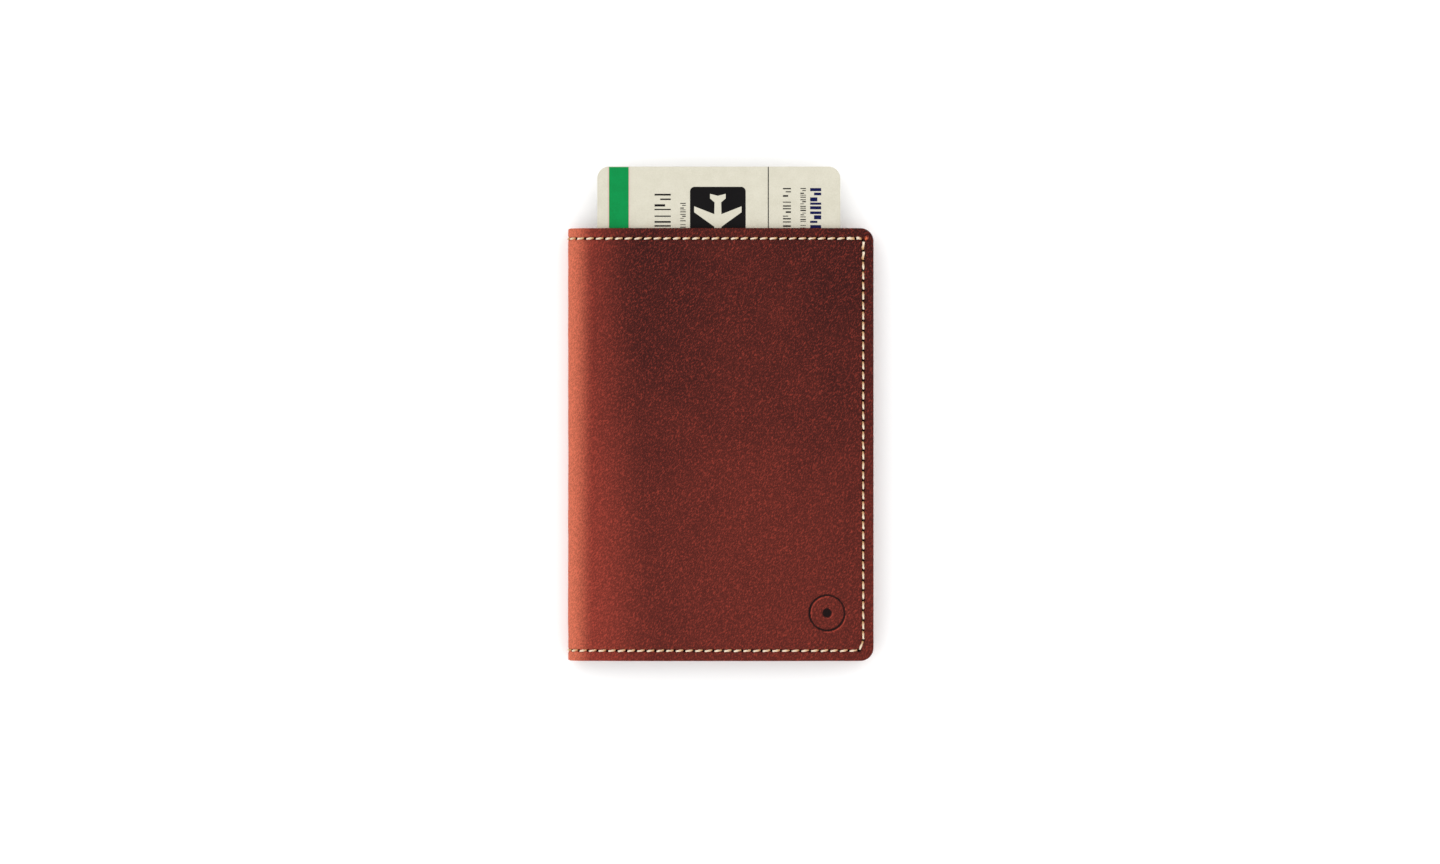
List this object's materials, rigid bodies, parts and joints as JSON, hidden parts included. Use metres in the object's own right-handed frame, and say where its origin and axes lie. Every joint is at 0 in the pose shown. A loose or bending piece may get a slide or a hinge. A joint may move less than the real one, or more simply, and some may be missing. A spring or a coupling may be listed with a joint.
{
  "type": "passport holder",
  "caption": "Bifold leather passport holder with a border-stitched cover, card pockets, a passport sleeve and a slip pocket holding a boarding pass.",
  "frame": {"origin": "centre of the back cover's outer face, which the closed holder lies on", "axes": "+X from the spine to the fore-edge, +Y towards the top edge, +Z from the back cover to the front cover"},
  "size_m": [0.1, 0.1616, 0.013],
  "materials": {
    "outer_leather": "waxed pull-up leather, reddish brown, satin",
    "pocket_leather": "thin reddish-brown leather, satin",
    "lining": "skived leather lining, matt",
    "waxed_thread": "waxed polyester thread, cream to golden",
    "thread_end": "frayed thread end, orange",
    "pass_card": "uncoated cream card, printed"
  },
  "bodies": {
    "back_cover": {"back_cover_leather": "outer_leather", "back_cover_lining": "lining", "passport_sleeve_panel": "pocket_leather", "back_cover_outer_stitches": "waxed_thread", "back_cover_inner_stitches": "waxed_thread"},
    "spine": {"spine_leather": "outer_leather", "spine_lining": "lining", "spine_outer_stitches": "waxed_thread", "spine_inner_stitches": "waxed_thread"},
    "front_cover": {"front_cover_leather": "outer_leather", "front_cover_lining": "lining", "boarding_pass_pocket_panel": "pocket_leather", "card_pocket_upper_panel": "pocket_leather", "card_pocket_middle_panel": "pocket_leather", "card_pocket_lower_panel": "pocket_leather", "front_cover_outer_stitches": "waxed_thread", "front_cover_inner_stitches": "waxed_thread", "card_pocket_upper_seam": "waxed_thread", "card_pocket_middle_seam": "waxed_thread", "card_pocket_side_seam": "waxed_thread", "front_corner_backstitches": "waxed_thread", "corner_thread_knot": "thread_end"},
    "boarding_pass": {"boarding_pass": "pass_card"}
  },
  "joints": [
    {"name": "back_fold", "type": "hinge", "parent": "back_cover", "child": "spine", "pos_m": [-0.04854, 0, 0.00146], "axis": [0, -1, 0], "range_deg": [0, 90]},
    {"name": "front_fold", "type": "hinge", "parent": "spine", "child": "front_cover", "pos_m": [-0.04854, 0, 0.01074], "axis": [0, -1, 0], "range_deg": [0, 90]},
    {"name": "pass_slide", "type": "slide", "parent": "front_cover", "child": "boarding_pass", "axis": [0, 1, 0], "range_m": [-0.007, 0.13]}
  ],
  "couplings": [
    {"joint": "back_fold", "follows": "front_fold", "ratio": 1}
  ]
}
